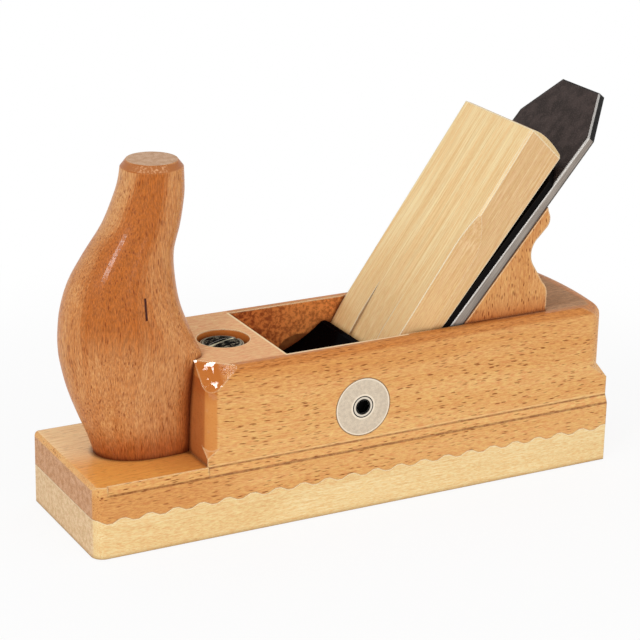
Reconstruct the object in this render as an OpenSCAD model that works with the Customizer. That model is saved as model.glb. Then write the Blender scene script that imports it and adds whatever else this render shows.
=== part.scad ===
// Smoothing plane of the reform type: beech stock, hornbeam sole, horn at the toe,
// wedged double iron and a mouth that closes with a sliding shoe.
// Millimetres. X runs from toe to heel, Z up, origin on the sole's face at its centre.

/* [Stock] */
// Length of the plane from toe to heel
stock_l = 220; // [200:1:260]
// Thickness of the stock's cheeks beside the throat
cheek_t = 3.9; // [3.6:0.1:8]
// How far each cheek stands in from the sole's edge
cheek_inset = 1.6; // [0.8:0.1:2.4]
// Height of the stock's top face above the sole
stock_h = 65.5; // [63:0.5:72]
// Height of the toe's top face above the sole
toe_h = 28.1; // [27:0.1:31]
// Height at which the ledge meets the cheeks
ledge_h = 27.5; // [25:0.5:30]
// Height of the ledge's sloping band
ledge_slope_h = 3.1; // [1:0.1:4]
// Distance from the toe's end at which its left bevel starts
toe_bevel_start = 5; // [4:0.5:8]
// Width of that bevel
toe_bevel_w = 0.8; // [0.4:0.1:1.5]
// Length of the toe in front of the shoulder
toe_l = 45; // [43:0.5:50]
// Radius of the toe's upright corner on the left side
toe_left_r = 4.5; // [2:0.5:8]
// Radius of the toe's upright corner on the right side
toe_right_r = 1.5; // [1:0.5:8]
// Radius of the toe's upper front edge
toe_edge_r = 2.2; // [1:0.1:4]
// Radius of the shoulder's upright corners
shoulder_corner_r = 5.5; // [3:0.5:8]
// Size of the slanting facet at the shoulder's upper corners
shoulder_facet = 12.5; // [8:0.5:14]
// Radius of the heel's upright corners above their stop
heel_corner_r = 8; // [6:0.5:12]
// How far the heel bows out between its sides
heel_bow = 2.7; // [1:0.1:4]
// Height at which the heel's corner rounding stops
heel_stop_h = 35; // [32:0.5:40]
// Height at which the shoulder's corner rounding stops
shoulder_stop_h = 31; // [29:0.5:36]
// Radius of the roll along the heel's upper edge
heel_roll_r = 5.5; // [2:0.5:7]
// Radius of the roll over the heel's upper corners
heel_corner_roll_r = 7; // [3:0.5:8]
// Radius along the upper outer edges of the cheeks
cheek_edge_r = 1.5; // [0.5:0.1:2.5]

/* [Sole joint] */
// Mean height of the toothed glue joint between sole and stock
joint_h = 14.35; // [12:0.05:16]
// Distance from one tooth of the joint to the next
tooth_pitch = 10.4; // [8:0.1:14]
// Height of a tooth from root to crest
tooth_h = 1.5; // [0.8:0.1:2.2]
// Width of the flat on each crest and root
tooth_flat = 2.2; // [1:0.1:3]
// Distance of one crest from the plane's middle
tooth_shift = -5.6; // [-7:0.1:-4]

/* [Throat] */
// Angle of the bed to the sole
bed_angle = 50; // [47:0.5:51]
// Distance from the toe's end to where the bed meets the sole's face
bed_from_toe = 100; // [97:0.5:102]
// Room beside the iron on each side of the throat
iron_side_gap = 0.5; // [0.45:0.05:1]
// Length of the throat's opening in front of the bed's foot, in the stock's top face
throat_top_l = 21.3; // [20.5:0.1:23]
// Length of the throat in front of the bed's foot, just above the shoe
throat_foot_l = 14; // [13.5:0.1:15]

/* [Mouth shoe] */
// Height of the sliding shoe in front of the mouth
shoe_h = 17; // [16:0.5:19]
// Length of the shoe along the sole
shoe_l = 46; // [44:0.5:48]
// Gap between the shoe and the cutting edge at rest
mouth_gap = 2.4; // [2.2:0.1:3]
// Clearance on each side of the shoe
shoe_gap = 0.2; // [0.1:0.05:0.4]
// Travel of the shoe towards the toe
shoe_open = 0.9; // [0.4:0.1:1.1]
// Travel of the shoe towards the iron
shoe_close = 2; // [1:0.1:2.1]
// Distance from the shoe's rear edge to its clamping screw
shoe_screw_back = 25.8; // [25:0.1:26.6]
// Diameter of the hole for the screw's head in the top face
head_hole_d = 20; // [19.8:0.1:21]
// Depth of that hole
head_hole_depth = 6; // [5:0.5:8]
// Diameter of the clamping screw's head
mouth_head_d = 16.6; // [15:0.1:16.8]
// Diameter of the clamping screw's shank
mouth_shank_d = 8; // [6:0.5:9]
// Depth of the domed head below the stock's top face
mouth_head_sink = 0.7; // [0.3:0.1:1.5]
// Thickness of the washer under the head
washer_t = 1.2; // [0.8:0.1:1.6]
// Side of the square clamping nut
nut_side = 20; // [16:0.5:24]
// Thickness of the nut
nut_t = 5; // [4:0.5:6]
// Wood under the nut
nut_floor = 6; // [4.5:0.5:6.5]

/* [Iron] */
// Width of the iron
iron_w = 48; // [44:0.5:54]
// Length of the iron from edge to head
iron_l = 194; // [185:1:205]
// Thickness of the iron at its head
iron_head_t = 3; // [2.4:0.1:3.6]
// Thickness of the iron at its cutting edge
iron_edge_t = 6; // [5.4:0.1:6.4]
// Angle of the ground bevel
bevel_angle = 25; // [22:1:30]
// Height of the cutting edge above the sole at rest
edge_lift = 0.2; // [0.1:0.05:0.5]
// Width of the head's top edge
head_top_w = 25.4; // [16:0.2:32]
// Height of the head's sloping shoulders
head_slope_l = 18; // [10:0.5:22]
// Width of the slot for the cap screw
iron_slot_w = 9; // [8.5:0.1:10]
// Start of that slot, measured from the cutting edge
iron_slot_start = 44; // [40:1:50]
// Length of that slot up to its round end
iron_slot_l = 78; // [60:1:90]
// Diameter of the round end that lets the screw's head through
iron_keyhole_d = 16; // [15:0.5:18]

/* [Cap iron] */
// Length of the cap iron
cap_l = 160; // [140:1:165]
// How far the cap iron stands in from each side of the iron
cap_side_in = 0.2; // [0:0.1:1]
// Thickness of the cap iron
cap_t = 2.5; // [2:0.1:3]
// Distance of the cap iron's lip behind the cutting edge
lip_back = 1; // [0.9:0.1:2]
// Length of the arched front of the cap iron
arch_l = 20; // [16:1:22]
// Rise of that arch
arch_h = 1.6; // [1:0.1:2]
// Thickness of the cap iron at its lip
lip_t = 0.5; // [0.3:0.1:0.8]
// Distance from the cutting edge to the cap screw
cap_screw_u = 70; // [62:1:76]
// Diameter of the threaded boss on the cap iron
boss_d = 15; // [13:0.5:16]
// Height of that boss
boss_h = 4; // [3:0.5:4.5]
// Diameter of the boss's riveted neck through the cap iron
boss_neck_d = 11; // [9.5:0.5:12]
// Diameter of the cap screw's shank
cap_shank_d = 7; // [6:0.5:8]
// Diameter of the cap screw's head
cap_head_d = 14; // [12:0.5:15]
// Height of the cap screw's head
cap_head_h = 3; // [2:0.5:3.5]

/* [Wedge] */
// Lower end of the wedge, measured up the bed
wedge_tip_s = 26; // [26:0.5:30]
// Upper end of the wedge, measured up the bed
wedge_top_s = 159; // [150:0.5:170]
// Height above the bed of the wedge's front face at the bar's upper edge
wedge_front_n = 17.7; // [17.2:0.1:18.4]
// Rise of the upper front face per millimetre
wedge_upper_slope = 0.0838; // [0.07:0.0001:0.1]
// Rise of the lower front face per millimetre
wedge_lower_slope = 0.1676; // [0.16:0.001:0.175]
// Place where the wedge's back leaves the cap iron
wedge_back_s = 82; // [78:1:90]
// Height above the bed of the wedge's back at its upper end
wedge_back_n = 8.7; // [8:0.1:10]
// Width of the channel for the cap iron's boss
channel_w = 17.5; // [16.8:0.1:20]
// Room around the boss in the channel
channel_gap = 0.6; // [0.4:0.1:1]
// How far the wedge's upper end is crowned
wedge_crown = 1.8; // [0.5:0.1:3]
// How far the steep lower face runs on above the bar
wedge_kink_l = 9; // [5:1:12]
// Width of the stopped bevel on the wedge's left side, on its front face
wedge_bevel = 3.2; // [1:0.1:4]
// Depth of that bevel down the wedge's side
wedge_bevel_side = 9; // [6:0.5:10]
// Where that bevel starts to run out, measured up the bed
wedge_bevel_stop = 105; // [95:1:120]
// Width of the small bevels along all its front corners
wedge_edge = 0.7; // [0.3:0.1:1]
// Half width of the shallow hollow in the wedge's front
hollow_half_w = 9; // [6:0.5:12]
// Depth of that hollow at the bar
hollow_depth = 0.9; // [0.4:0.1:1.2]

/* [Abutment] */
// Upper edge of the abutment bar, measured up the bed
bar_top_s = 57; // [56:0.5:58]
// Lower edge of the abutment bar, measured up the bed
bar_foot_s = 24; // [23:0.5:28]
// Place of the bar's screws, measured up the bed
bar_screw_s = 37.2; // [36:0.1:40]
// Height of the bar's screws above the bed
bar_screw_n = 19; // [18.6:0.1:20]
// Clearance between the bar and each cheek
bar_gap = 0.2; // [0.1:0.05:0.5]
// Thickness of the bar's land along its upper edge
bar_land = 2.6; // [1.5:0.1:3.5]
// How far the bar's nose stands in front of its screws
bar_nose = 11; // [9:0.5:11.5]
// Depth of the hollow above the nose
bar_hollow = 1.2; // [0.4:0.1:2]
// Diameter of the flanged bushes in the cheeks
bush_d = 22.6; // [18:0.2:24]
// Thickness of the bush's flange
bush_t = 2; // [1.4:0.1:2.4]
// Diameter of the bush's neck
bush_neck_d = 12; // [11:0.5:14]
// Diameter of the socket screw's head
bar_head_d = 8.6; // [8:0.1:9.4]
// Height of the socket screw's head
bar_head_h = 2.9; // [2.6:0.1:3]
// Diameter of the socket screw's shank
bar_shank_d = 6; // [5:0.5:6]
// Length of the socket screw's shank
bar_shank_l = 15; // [10:0.5:18]
// Width across the socket's flats
socket_af = 5; // [4:0.5:5.5]

/* [Horn] */
// Height of the horn's flat top above the sole
horn_top_h = 138.2; // [130:0.2:145]
// Width of the loose tongue under the horn
tongue_w = 10; // [8:0.5:12]
// Length of that tongue along the plane
tongue_l = 20; // [14:1:22]
// Height of that tongue
tongue_h = 22; // [16:1:24]
// How deep that tongue sits in the toe
tongue_sunk = 9; // [6:0.5:11]
// Distance of that tongue from the shoulder
tongue_back = 7; // [6:0.5:10]
// Diameter of the dowel from the horn into the shoulder
horn_dowel_d = 10; // [8:0.5:12]
// Length of that dowel
horn_dowel_l = 24; // [18:1:26]
// Height of that dowel above the sole
horn_dowel_z = 48; // [44:1:50]

/* [Hand rest] */
// Height of the hand rest's top above the sole
rest_top_h = 107.7; // [104:0.1:108]
// Length of the hand rest's foot behind the bed
rest_foot_l = 37; // [35:0.5:38]
// How far the hand rest stands in from each side of the throat
rest_side_in = 0.1; // [0:0.1:2]
// Diameter of its two dowels
rest_dowel_d = 8; // [6:0.5:10]
// Length of its two dowels
rest_dowel_l = 28; // [20:1:34]
// Distance between the two dowels
rest_dowel_span = 28; // [26:1:34]
// Distance of the dowels from the hand rest's rear
rest_dowel_in = 14; // [12:0.5:18]

/* [Strike button] */
// Diameter of the button's head
button_d = 20; // [16:0.5:24]
// How far the button stands out of the heel
button_out = 3; // [2:0.5:4]
// Height of the button's middle above the sole
button_z = 48; // [46:0.5:50]
// Diameter of the button's shank
button_shank_d = 12; // [8:0.5:14]
// Length of the button's shank
button_shank_l = 20; // [14:1:22]

/* [Hidden] */
$fn = 72;

// Running clearance of the plain shanks in their threads
thread_gap = 0.05;
// Clearance between faces that slide on each other
slide_gap = 0.05;
// Clearance between wedge and cap iron, which lets the iron creep under the wedge
wedge_gap = 0.08;
// Clearance between the cap iron and the iron's face
cap_gap = 0.01;
// Free hole around a screw's shank, on the diameter
free_gap = 0.6;
// How far a cutter runs past the face it opens
past = 1;
// A cutter's size where only one of its faces matters
vast = 300;

throat_w = iron_w + 2 * iron_side_gap;
stock_w = throat_w + 2 * cheek_t;
sole_w = stock_w + 2 * cheek_inset;
cap_w = iron_w - 2 * cap_side_in;
wedge_w = iron_w;
rest_w = throat_w - 2 * rest_side_in;

toe_x = -stock_l / 2;
heel_x = stock_l / 2;
bed_x = toe_x + bed_from_toe;
throat_top_x = bed_x - throat_top_l;
throat_foot_x = bed_x - throat_foot_l;
shoulder_x = toe_x + toe_l;
ledge_foot = ledge_h - ledge_slope_h;

iron_taper = atan((iron_edge_t - iron_head_t) / iron_l);
edge_s = (edge_lift - (iron_edge_t + slide_gap) * cos(bed_angle)) / sin(bed_angle);
edge_x = bed_x + edge_s * cos(bed_angle) - (iron_edge_t + slide_gap) * sin(bed_angle);

shoe_rear_x = edge_x - mouth_gap;
shoe_front_x = shoe_rear_x - shoe_l;
pocket_front_x = shoe_front_x - shoe_open - shoe_gap;
mouth_screw_x = shoe_rear_x - shoe_screw_back;
// How far the clamping screw stands out below its nut
screw_reach = 2;
head_hole_x = mouth_screw_x + (shoe_close - shoe_open) / 2;
head_floor_z = stock_h - head_hole_depth;

bar_x = bed_x + bar_screw_s * cos(bed_angle) - bar_screw_n * sin(bed_angle);
bar_z = bar_screw_s * sin(bed_angle) + bar_screw_n * cos(bed_angle);
bar_half_l = throat_w / 2 - bar_gap;

rest_foot_x = bed_x + stock_h / tan(bed_angle);
rest_rear_x = rest_foot_x + rest_foot_l;
rest_top_x = bed_x + rest_top_h / tan(bed_angle);
rest_dowel_x = rest_rear_x - rest_dowel_in;

// Heights above the bed, at a distance s up the bed
function iron_face_n(s) = slide_gap + iron_edge_t - tan(iron_taper) * (s - edge_s);
function cap_top_n(s) = iron_face_n(s) + cap_gap + cap_t;
function wedge_lower_n(s) = wedge_front_n - wedge_lower_slope * (bar_top_s - s);
wedge_kink_s = bar_top_s + wedge_kink_l;
wedge_kink_n = wedge_lower_n(wedge_kink_s);
function wedge_upper_n(s) = wedge_kink_n + wedge_upper_slope * (s - wedge_kink_s);

// Points along a round stretch of an outline
function arc(cx, cy, r, from, to, steps = 12) =
    [for (i = [0:steps]) let (a = from + (to - from) * i / steps) [cx + r * cos(a), cy + r * sin(a)]];

// Points along a round stretch from p to q that stands h off their chord, on its left
function bow(p, q, h, steps = 10) =
    let (c = norm(q - p), r = (c * c / 4 + h * h) / (2 * h), half = asin(c / 2 / r),
        way = (q - p) / c, off = [-way[1], way[0]], middle = (p + q) / 2 - off * (r - h))
    [for (i = [0:steps]) let (a = half * (2 * i / steps - 1)) middle + r * (sin(a) * way + cos(a) * off)];

// Carries an outline drawn in X and Z across the plane's width
module across(w) {
    rotate([90, 0, 0])
        linear_extrude(w, center = true)
            children();
}

// Carries an outline drawn in Y and Z along the plane
module along(x0, x1) {
    translate([x0, 0, 0])
        rotate([90, 0, 90])
            linear_extrude(x1 - x0)
                children();
}

// Puts a piece on the bed: x runs up the bed, z stands off it
module on_bed() {
    translate([bed_x, 0, 0])
        rotate([0, -bed_angle, 0])
            children();
}

// Puts a piece just off the iron's face: x runs up from the cutting edge
module on_face() {
    on_bed()
        translate([edge_s, 0, iron_edge_t + slide_gap])
            rotate([0, iron_taper, 0])
                translate([0, 0, cap_gap])
                    children();
}

// Both sides of the plane
module both_sides() {
    children();
    mirror([0, 1, 0])
        children();
}

// A round hole stretched along X by l
module slot_hole(d, l, h) {
    for (x = [-l / 2, l / 2])
        translate([x, 0, 0])
            cylinder(d = d, h = h);
    translate([-l / 2, -d / 2, 0])
        cube([l, d, h]);
}

// What a rounding of radius r takes off a corner at the origin
module corner_waste(r) {
    difference() {
        translate([-r, -r])
            square(r + past);
        translate([-r, -r])
            circle(r);
    }
}

// Takes the shoulder's upright corner away above its stop, where it runs out on a slope
module stopped_shoulder() {
    intersection() {
        translate([0, 0, shoulder_stop_h - past])
            linear_extrude(stock_h)
                corner_waste(shoulder_corner_r);
        translate([0, 0, shoulder_stop_h])
            rotate([0, 0, 45])
                rotate([0, 45, 0])
                    translate([-vast / 2, -vast / 2, 0])
                        cube(vast);
    }
}

// The slanting facet at an upper corner of the shoulder
module shoulder_facet_cut() {
    reach = shoulder_facet + past;
    translate([shoulder_x, -stock_w / 2, stock_h])
        intersection() {
            rotate([0, 0, 225])
                rotate([0, -atan(1 / sqrt(2)), 0])
                    translate([-shoulder_facet / sqrt(3), -vast / 2, -vast / 2])
                        cube(vast);
            translate([-past, -past, -reach])
                cube(reach + past);
        }
}

// The sole's outline in X and Z with its toothed upper edge
module sole_outline() {
    half = tooth_pitch / 2;
    crest = joint_h + tooth_h / 2;
    root = joint_h - tooth_h / 2;
    reach = ceil(stock_l / 2 / tooth_pitch) + 1;
    teeth = [for (k = [-reach:reach]) let (x = tooth_shift + k * tooth_pitch)
        each [[x - tooth_flat / 2, crest], [x + tooth_flat / 2, crest],
            [x + half - tooth_flat / 2, root], [x + half + tooth_flat / 2, root]]];
    polygon(concat([[teeth[0][0], -past]], teeth, [[teeth[len(teeth) - 1][0], -past]]));
}

// Both upright corners of the toe, through stock and sole
module toe_corners() {
    translate([toe_x, -sole_w / 2, -past])
        rotate([0, 0, 180])
            linear_extrude(toe_h + 2 * past)
                corner_waste(toe_left_r);
    translate([toe_x, sole_w / 2, -past])
        rotate([0, 0, 90])
            linear_extrude(toe_h + 2 * past)
                corner_waste(toe_right_r);
}

// The room that the iron, wedge and bar share
module throat_cut() {
    lean = (throat_top_x - throat_foot_x) / (stock_h - shoe_h);
    top = stock_h + past;
    across(throat_w)
        polygon([
            [throat_foot_x, -past], [throat_foot_x, shoe_h],
            [throat_top_x + lean * past, top],
            [bed_x + top / tan(bed_angle), top],
            [bed_x - past / tan(bed_angle), -past]]);
}

// The pocket for the sliding shoe, open to the throat
module shoe_pocket() {
    translate([pocket_front_x, -throat_w / 2, -past])
        cube([bed_x - pocket_front_x - mouth_gap, throat_w, shoe_h + slide_gap + past]);
}

// The groove down the bed for the head of the cap screw
module bed_groove() {
    room = 2;
    run_down = 10;
    groove_w = cap_head_d + room;
    groove_depth = cap_head_h + room;
    groove_start = cap_screw_u + edge_s - cap_head_d / 2 - run_down;
    on_bed()
        translate([groove_start, -groove_w / 2, -groove_depth])
            cube([iron_l, groove_w, groove_depth + past]);
}

// The seat of one flanged bush, on the left cheek
module bush_seat() {
    translate([bar_x, -stock_w / 2, bar_z])
        rotate([-90, 0, 0]) {
            translate([0, 0, -past])
                cylinder(d = bush_d + 2 * slide_gap, h = bush_t + past);
            cylinder(d = bush_neck_d + 2 * slide_gap, h = cheek_t + past);
        }
}

module stock_blank() {
    // Lower block with its sloping ledges
    along(shoulder_x, heel_x)
        polygon([
            [-sole_w / 2, 0], [sole_w / 2, 0],
            [sole_w / 2, ledge_foot], [stock_w / 2, ledge_h],
            [-stock_w / 2, ledge_h], [-sole_w / 2, ledge_foot]]);
    // Toe, its left edge bevelled from a short stop onwards
    difference() {
        translate([toe_x, -sole_w / 2, 0])
            cube([toe_l + slide_gap, sole_w, toe_h]);
        translate([toe_x, 0, toe_h])
            across(sole_w + past)
                mirror([1, 0])
                    corner_waste(toe_edge_r);
        along(toe_x + toe_bevel_start, shoulder_x + past)
            polygon([
                [-sole_w / 2, ledge_foot], [toe_bevel_w - sole_w / 2, toe_h],
                [toe_bevel_w - sole_w / 2, toe_h + past], [-sole_w, toe_h + past], [-sole_w, ledge_foot]]);
    }
    // Upper block from shoulder to heel
    along(shoulder_x, heel_x)
        difference() {
            translate([-stock_w / 2, 0])
                square([stock_w, stock_h]);
            for (side = [0, 1])
                mirror([side, 0])
                    translate([stock_w / 2, stock_h])
                        corner_waste(cheek_edge_r);
        }
}

// The heel's bow seen from above and the axis of its left upright corner
heel_bow_r = (stock_w * stock_w / 4 + heel_bow * heel_bow) / (2 * heel_bow);
heel_corner_y = stock_w / 2 - heel_corner_r;
heel_turn = asin(heel_corner_y / (heel_bow_r - heel_corner_r));
heel_corner_x = heel_x - heel_bow_r + (heel_bow_r - heel_corner_r) * cos(heel_turn);

// Rolls the heel's left upper corner over, square to the corner's own direction
module heel_corner_roll() {
    translate([heel_corner_x, -heel_corner_y, stock_h])
        rotate([0, 0, -45])
            translate([heel_corner_r, 0, 0])
                across(vast)
                    corner_waste(heel_corner_roll_r);
}

// What the bowed and rolled heel leaves of the upper block, above its stop
module heel_waste() {
    bow_r = heel_bow_r;
    turn = heel_turn;
    outside = [heel_x - bow_r + (bow_r + past) * cos(turn), (bow_r + past) * sin(turn)];
    start_x = heel_corner_x - heel_corner_r;
    half = concat([[start_x, stock_w / 2]],
        arc(heel_corner_x, heel_corner_y, heel_corner_r, 90, turn), [outside]);
    intersection() {
        difference() {
            translate([start_x, -stock_w / 2 - past, heel_stop_h - past])
                cube([heel_x - start_x + past, stock_w + 2 * past, stock_h]);
            intersection() {
                linear_extrude(stock_h)
                    polygon(concat(half, [for (i = [len(half) - 1:-1:0]) [half[i][0], -half[i][1]]]));
                translate([heel_x - bow_r, 0, 0])
                    rotate_extrude($fn = 360)
                        difference() {
                            square([bow_r, stock_h]);
                            translate([bow_r, stock_h])
                                corner_waste(heel_roll_r);
                        }
            }
        }
        // The waste runs out on slopes, steep in the middle and flatter over both corners
        for (side = [-1, 0, 1])
            translate([heel_x, side * stock_w / 2, heel_stop_h])
                rotate([0, 0, side * 45])
                    rotate([0, side == 0 ? 65 : 45, 0])
                        translate([-vast / 2, -vast / 2, 0])
                            cube(vast);
    }
}

module stock() {
    color("burlywood")
        difference() {
            stock_blank();
            across(sole_w + past)
                sole_outline();
            toe_corners();
            throat_cut();
            shoe_pocket();
            bed_groove();
            heel_waste();
            both_sides() {
                translate([shoulder_x, -stock_w / 2, 0])
                    rotate([0, 0, 180])
                        stopped_shoulder();
                shoulder_facet_cut();
                heel_corner_roll();
                bush_seat();
                translate([rest_dowel_x, rest_dowel_span / 2, stock_h - rest_dowel_l / 2])
                    cylinder(d = rest_dowel_d, h = rest_dowel_l);
            }
            // Hole and slot of the mouth's clamping screw
            translate([head_hole_x, 0, head_floor_z])
                cylinder(d = head_hole_d, h = head_hole_depth + past);
            translate([head_hole_x, 0, shoe_h])
                slot_hole(mouth_shank_d + free_gap, shoe_open + shoe_close, stock_h);
            // Seats of the horn's tongue and dowel
            horn_tongue_shape();
            horn_dowel_shape();
            // Seat of the strike button
            translate([heel_x - button_shank_l, 0, button_z])
                rotate([0, 90, 0])
                    cylinder(d = button_shank_d, h = button_shank_l + past);
        }
}

module sole() {
    color("wheat")
        difference() {
            intersection() {
                translate([toe_x, -sole_w / 2, 0])
                    cube([stock_l, sole_w, joint_h + tooth_h]);
                across(sole_w)
                    sole_outline();
            }
            toe_corners();
            // Window for the shoe and the iron, its rear face carrying on the bed
            across(throat_w)
                polygon([
                    [pocket_front_x, -past], [pocket_front_x, shoe_h + past],
                    [bed_x + (shoe_h + past) / tan(bed_angle), shoe_h + past],
                    [bed_x - past / tan(bed_angle), -past]]);
        }
}

module mouth_shoe() {
    shoe_w = throat_w - 2 * shoe_gap;
    land_h = 4;
    land_lean = 0.5;
    color("wheat")
        difference() {
            across(shoe_w)
                polygon([
                    [shoe_front_x, 0], [shoe_rear_x, 0],
                    [shoe_rear_x - land_lean, land_h],
                    [throat_foot_x, shoe_h], [shoe_front_x, shoe_h]]);
            // Slot for the nut, open at the shoe's front end
            translate([shoe_front_x - past, -nut_side / 2 - slide_gap, nut_floor - slide_gap])
                cube([mouth_screw_x - shoe_front_x + nut_side / 2 + slide_gap + past,
                    nut_side + 2 * slide_gap, nut_t + slide_gap]);
            // Bore for the screw with room under its end
            translate([mouth_screw_x, 0, nut_floor - screw_reach - 0.5])
                cylinder(d = mouth_shank_d + free_gap, h = shoe_h);
        }
}

module mouth_nut() {
    color("dimgray")
        translate([mouth_screw_x, 0, nut_floor])
            difference() {
                translate([-nut_side / 2, -nut_side / 2, 0])
                    cube([nut_side, nut_side, nut_t]);
                translate([0, 0, -past])
                    cylinder(d = mouth_shank_d, h = nut_t + 2 * past);
            }
}

module mouth_washer() {
    color("silver")
        translate([mouth_screw_x, 0, head_floor_z + slide_gap])
            difference() {
                cylinder(d = mouth_head_d - free_gap, h = washer_t);
                translate([0, 0, -past])
                    cylinder(d = mouth_shank_d + free_gap, h = washer_t + 2 * past);
            }
}

module mouth_screw() {
    seat_z = head_floor_z + slide_gap + washer_t + slide_gap;
    top_z = stock_h - mouth_head_sink;
    dome_h = 1.2;
    dome_r = (mouth_head_d * mouth_head_d / 4 + dome_h * dome_h) / (2 * dome_h);
    slot_w = 2;
    slot_depth = 2;
    slot_turn = 20;
    color("lightgray")
        difference() {
            union() {
                translate([mouth_screw_x, 0, nut_floor - screw_reach])
                    cylinder(d = mouth_shank_d - 2 * thread_gap, h = seat_z - nut_floor + screw_reach);
                intersection() {
                    translate([mouth_screw_x, 0, seat_z])
                        cylinder(d = mouth_head_d, h = top_z - seat_z);
                    translate([mouth_screw_x, 0, top_z - dome_r])
                        sphere(dome_r, $fn = 144);
                }
            }
            translate([mouth_screw_x, 0, top_z - slot_depth])
                rotate([0, 0, slot_turn])
                    translate([-mouth_head_d, -slot_w / 2, 0])
                        cube([2 * mouth_head_d, slot_w, slot_depth + past]);
        }
}

// Stations of the horn: height, front and rear from the toe's end, half width, squareness of its rear
horn_foot_z = toe_h;
horn_stations = [
    [0, 12.6, 50, 13.4, 4],
    [7.4, 10.2, 52, 13.3, 4],
    [17.4, 6, 52, 14.2, 4],
    [27.4, 2.4, 52, 15.9, 4],
    [37.4, 0.1, 50.6, 17, 6],
    [42.4, -0.4, 49.1, 17.8, 4],
    [47.4, -0.4, 47.6, 18, 3.2],
    [56.4, 0.6, 44.8, 17.2, 2.5],
    [66.4, 3.7, 43.4, 15.5, 2.2],
    [76.4, 9.8, 43.4, 13.8, 2],
    [86.4, 16.8, 46, 12.4, 2],
    [96.4, 21.4, 47.6, 11.6, 2],
    [102.4, 23.4, 47.7, 11.2, 2],
    [107.4, 24.3, 47.4, 11.3, 2]];
horn_facet_r = 9.4;
horn_side_n = 56;
horn_steps = 5;

// Smooth course between four values, t from 0 to 1 between the middle two
function course(a, b, c, d, t) =
    b + 0.5 * t * (c - a + t * (2 * a - 5 * b + 4 * c - d + t * (3 * (b - c) + d - a)));
function station(k) = horn_stations[max(0, min(len(horn_stations) - 1, k))];
function between(k, t) = [for (j = [0:4])
    course(station(k - 1)[j], station(k)[j], station(k + 1)[j], station(k + 2)[j], t)];
// One ring of the horn around its height
function horn_ring(s) =
    let (mid = toe_x + (s[1] + s[2]) / 2, half = (s[2] - s[1]) / 2)
    [for (i = [0:horn_side_n - 1])
        let (a = 360 * i / horn_side_n, e = 2 / (cos(a) > 0 ? s[4] : 2))
        [mid + half * sign(cos(a)) * pow(abs(cos(a)), e),
            s[3] * sign(sin(a)) * pow(abs(sin(a)), e), horn_foot_z + s[0]]];
function horn_top_ring() =
    let (s = horn_stations[len(horn_stations) - 1], mid = toe_x + (s[1] + s[2]) / 2)
    [for (i = [0:horn_side_n - 1]) let (a = 360 * i / horn_side_n)
        [mid + horn_facet_r * cos(a), horn_facet_r * sin(a), horn_top_h]];

module horn_shape() {
    last = len(horn_stations) - 1;
    rings = concat(
        [for (k = [0:last - 1]) for (i = [0:horn_steps - 1]) horn_ring(between(k, i / horn_steps))],
        [horn_ring(horn_stations[last]), horn_top_ring()]);
    n = horn_side_n;
    count = len(rings);
    points = [for (ring = rings) for (p = ring) p];
    sides = [for (r = [0:count - 2]) for (i = [0:n - 1]) let (j = (i + 1) % n)
        each [[r * n + i, (r + 1) * n + i, (r + 1) * n + j], [r * n + i, (r + 1) * n + j, r * n + j]]];
    foot = [for (i = [0:n - 1]) i];
    top = [for (i = [n - 1:-1:0]) (count - 1) * n + i];
    polyhedron(points, concat([foot], sides, [top]), convexity = 4);
}

module horn_tongue_shape() {
    translate([shoulder_x - tongue_back - tongue_l, -tongue_w / 2, toe_h - tongue_sunk])
        cube([tongue_l, tongue_w, tongue_h]);
}

module horn_dowel_shape() {
    translate([shoulder_x - horn_dowel_l / 2, 0, horn_dowel_z])
        rotate([0, 90, 0])
            cylinder(d = horn_dowel_d, h = horn_dowel_l);
}

module horn() {
    color("sandybrown")
        difference() {
            horn_shape();
            // Flat seat against the shoulder and on the stock's top face
            translate([shoulder_x, -sole_w / 2, 0])
                cube([sole_w, sole_w, stock_h]);
            horn_tongue_shape();
            horn_dowel_shape();
        }
}

module horn_tongue() {
    color("tan")
        horn_tongue_shape();
}

module horn_dowel() {
    color("tan")
        horn_dowel_shape();
}

// Side outline of the hand rest: nose, hollow for the hand and swelling foot
module rest_outline() {
    nose_r = 4.9;
    nose = [rest_top_x - 3.6, rest_top_h - 4.7];
    nose_turn = [30, -45];
    hollow_r = 8.5;
    hollow = [rest_top_x + 1.9, rest_top_h - 18.1];
    hollow_turn = [128, 215];
    foot_r = 6.5;
    foot_rise = 7.2;
    foot_turn = [48, 0];
    polygon(concat(
        [[rest_foot_x, stock_h], [rest_top_x, rest_top_h]],
        arc(nose[0], nose[1], nose_r, nose_turn[0], nose_turn[1]),
        arc(hollow[0], hollow[1], hollow_r, hollow_turn[0], hollow_turn[1]),
        arc(rest_rear_x - foot_r, stock_h + foot_rise, foot_r, foot_turn[0], foot_turn[1]),
        [[rest_rear_x, stock_h]]));
}

module hand_rest() {
    color("burlywood")
        difference() {
            across(rest_w)
                rest_outline();
            bed_groove();
            rest_dowels_shape();
        }
}

module rest_dowels_shape() {
    both_sides()
        translate([rest_dowel_x, rest_dowel_span / 2, stock_h - rest_dowel_l / 2])
            cylinder(d = rest_dowel_d, h = rest_dowel_l);
}

module rest_dowels() {
    color("tan")
        rest_dowels_shape();
}

// Side outline of the wedge on the bed
module wedge_outline() {
    blunt = 3;
    tip_back = cap_top_n(wedge_tip_s) + wedge_gap;
    tip_front = wedge_lower_n(wedge_tip_s) - slide_gap;
    polygon(concat(
        [[wedge_tip_s, tip_back],
            [wedge_back_s, cap_top_n(wedge_back_s) + wedge_gap]],
        bow([wedge_top_s, wedge_back_n], [wedge_top_s, wedge_upper_n(wedge_top_s)], -wedge_crown),
        [[wedge_kink_s, wedge_kink_n - slide_gap],
            [wedge_tip_s + blunt, wedge_lower_n(wedge_tip_s + blunt) - slide_gap],
            [wedge_tip_s, (tip_back + tip_front) / 2]]));
}

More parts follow.
